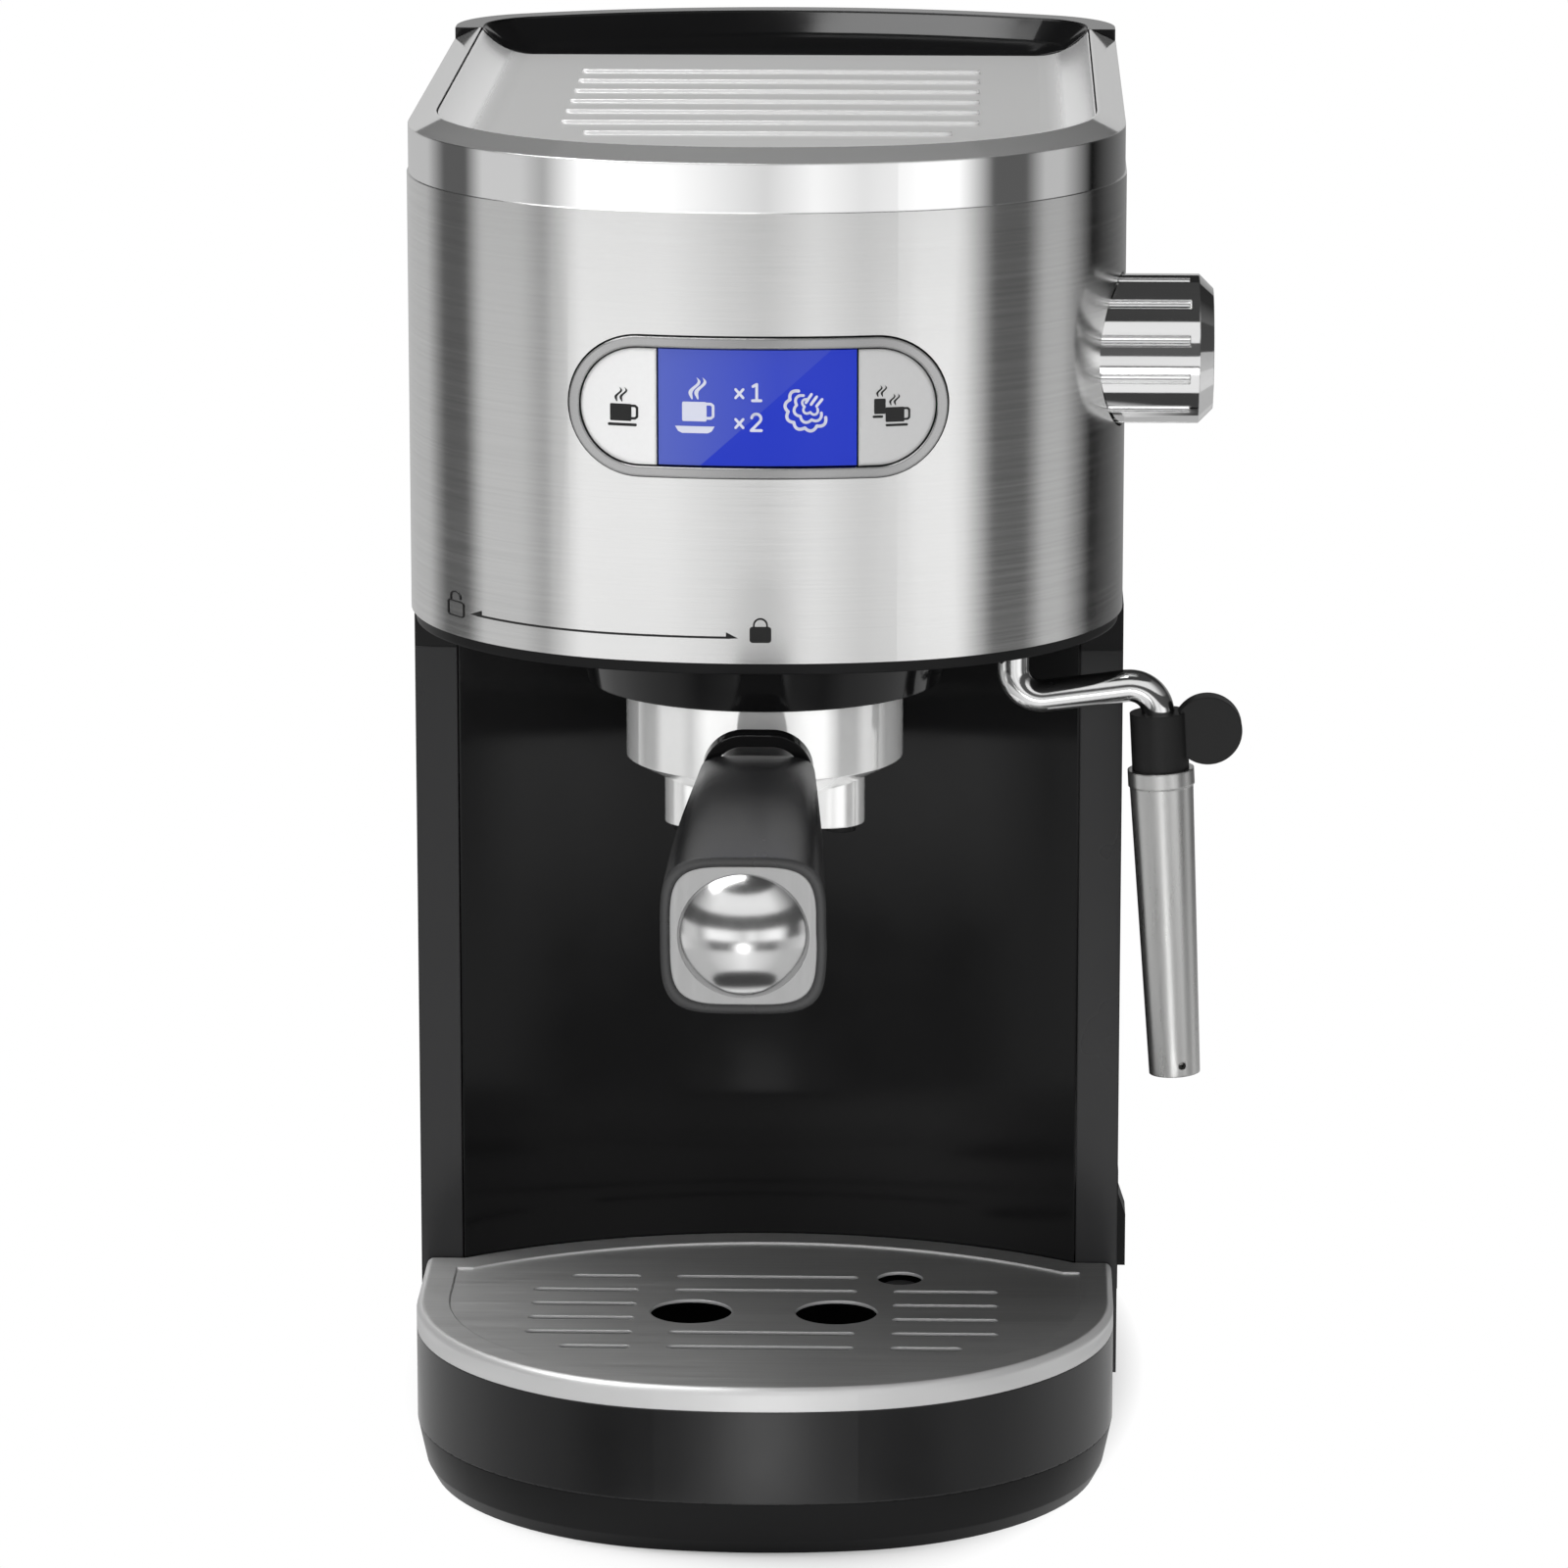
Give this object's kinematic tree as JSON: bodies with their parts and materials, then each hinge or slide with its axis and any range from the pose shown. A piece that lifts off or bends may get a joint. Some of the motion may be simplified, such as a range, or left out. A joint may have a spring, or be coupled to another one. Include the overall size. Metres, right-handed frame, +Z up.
{
  "type": "espresso machine",
  "caption": "Slim pump espresso machine with a brushed steel head, portafilter, steam wand, side knob, drip tray and rear water tank.",
  "frame": {"origin": "centre of the base's underside on the worktop, on the body's mid-plane", "axes": "+X to the machine's right, -Y to the front where the handle points, +Z up"},
  "size_m": [0.1781, 0.3348, 0.289],
  "materials": {
    "satin_black": "satin",
    "gloss_black": "gloss",
    "smoked_tank": "gloss",
    "brushed_wrap": "brushed",
    "brushed_plate": "brushed",
    "satin_steel": "satin",
    "polished_band": "polished",
    "chrome": "polished",
    "silver_button": "satin",
    "display_blue": "gloss",
    "display_glass": "gloss",
    "handle_black": "satin",
    "black_rubber": "matte",
    "clear_hose": "satin",
    "cast_aluminium": "cast",
    "valve_brass": "machined",
    "board_green": "satin",
    "white_plastic": "satin",
    "zinc_steel": "plated"
  },
  "bodies": {
    "housing": {"base_shell": "satin_black", "bottom_plate": "satin_black", "feet": "black_rubber", "base_screws": "zinc_steel", "column_shell": "satin_black", "column_front_panel": "gloss_black", "head_shell": "satin_black", "head_wrap": "brushed_wrap", "top_band": "polished_band", "cup_warmer": "satin_steel", "panel_bezel": "chrome", "display_window": "display_glass", "display_module": "display_blue", "key_switches": "white_plastic", "panel_board": "board_green", "main_board": "board_green", "boiler_cup": "cast_aluminium", "boiler_lid": "cast_aluminium", "heating_element": "zinc_steel", "thermostats": "white_plastic", "group_head": "cast_aluminium", "group_shroud": "gloss_black", "group_gasket": "black_rubber", "shower_screen": "zinc_steel", "shower_screw": "zinc_steel", "pump": "white_plastic", "pump_saddles": "black_rubber", "suction_hose": "clear_hose", "pressure_hose": "clear_hose", "steam_hose": "clear_hose", "steam_valve": "valve_brass", "wand_socket": "satin_black", "tank_seat": "black_rubber", "switch_body": "satin_black", "cord_gland": "satin_black"},
    "drip_tray_body": {"drip_tray": "satin_black"},
    "drip_plate_body": {"drip_plate": "brushed_plate"},
    "float_body": {"tray_float": "satin_black"},
    "tank_body": {"water_tank": "smoked_tank", "tank_valve": "white_plastic"},
    "lid_body": {"tank_lid": "gloss_black"},
    "left_button_body": {"button_left": "silver_button"},
    "right_button_body": {"button_right": "silver_button"},
    "knob_body": {"steam_knob": "chrome", "valve_spindle": "valve_brass"},
    "wand_body": {"wand_pipe": "chrome", "wand_grip": "black_rubber"},
    "sleeve_body": {"froth_sleeve": "satin_steel"},
    "portafilter_body": {"portafilter_basin": "chrome", "filter_basket": "zinc_steel", "spout_block": "chrome", "spout_tips": "satin_black", "handle": "handle_black", "handle_frame": "chrome", "handle_dome": "chrome", "handle_bolt": "zinc_steel", "clip_pin": "zinc_steel"},
    "clip_body": {"basket_clip": "handle_black"},
    "rocker_body": {"switch_rocker": "satin_black"}
  },
  "joints": [
    {"name": "tray_slide", "type": "slide", "parent": "housing", "child": "drip_tray_body", "axis": [0, -1, 0], "range_m": [0, 0.14]},
    {"name": "plate_lift", "type": "slide", "parent": "drip_tray_body", "child": "drip_plate_body", "axis": [0, 0, 1], "range_m": [0, 0.06]},
    {"name": "float_rise", "type": "slide", "parent": "drip_tray_body", "child": "float_body", "axis": [0, 0, 1], "range_m": [0, 0.008]},
    {"name": "tank_lift", "type": "slide", "parent": "housing", "child": "tank_body", "axis": [0, 0, 1], "range_m": [0, 0.28]},
    {"name": "lid_lift", "type": "slide", "parent": "tank_body", "child": "lid_body", "axis": [0, 0, 1], "range_m": [0, 0.06]},
    {"name": "left_button_press", "type": "slide", "parent": "housing", "child": "left_button_body", "axis": [0, 1, 0], "range_m": [0, 0.001], "stiffness_N_per_m": 800, "springref_m": -0.0005},
    {"name": "right_button_press", "type": "slide", "parent": "housing", "child": "right_button_body", "axis": [0, 1, 0], "range_m": [0, 0.001], "stiffness_N_per_m": 800, "springref_m": -0.0005},
    {"name": "knob_turn", "type": "hinge", "parent": "housing", "child": "knob_body", "pos_m": [0.075, -0.066, 0.2406], "axis": [1, 0, 0], "range_deg": [0, 170]},
    {"name": "wand_swing", "type": "hinge", "parent": "housing", "child": "wand_body", "pos_m": [0.052, -0.07, 0.182], "axis": [0, 0, 1], "range_deg": [-80, 15]},
    {"name": "sleeve_pull", "type": "slide", "parent": "wand_body", "child": "sleeve_body", "axis": [0.0558, 0, -0.9984], "range_m": [0, 0.04]},
    {"name": "portafilter_twist", "type": "hinge", "parent": "housing", "child": "portafilter_body", "pos_m": [0, -0.072, 0.172], "axis": [0, 0, 1], "range_deg": [-45, 0]},
    {"name": "clip_flip", "type": "hinge", "parent": "portafilter_body", "child": "clip_body", "pos_m": [0, -0.11723, 0.15601], "axis": [-1, 0, 0], "range_deg": [0, 20]},
    {"name": "rocker_tip", "type": "hinge", "parent": "housing", "child": "rocker_body", "pos_m": [0.071, -0.01, 0.036], "axis": [0, 1, 0], "range_deg": [0, 14]}
  ]
}
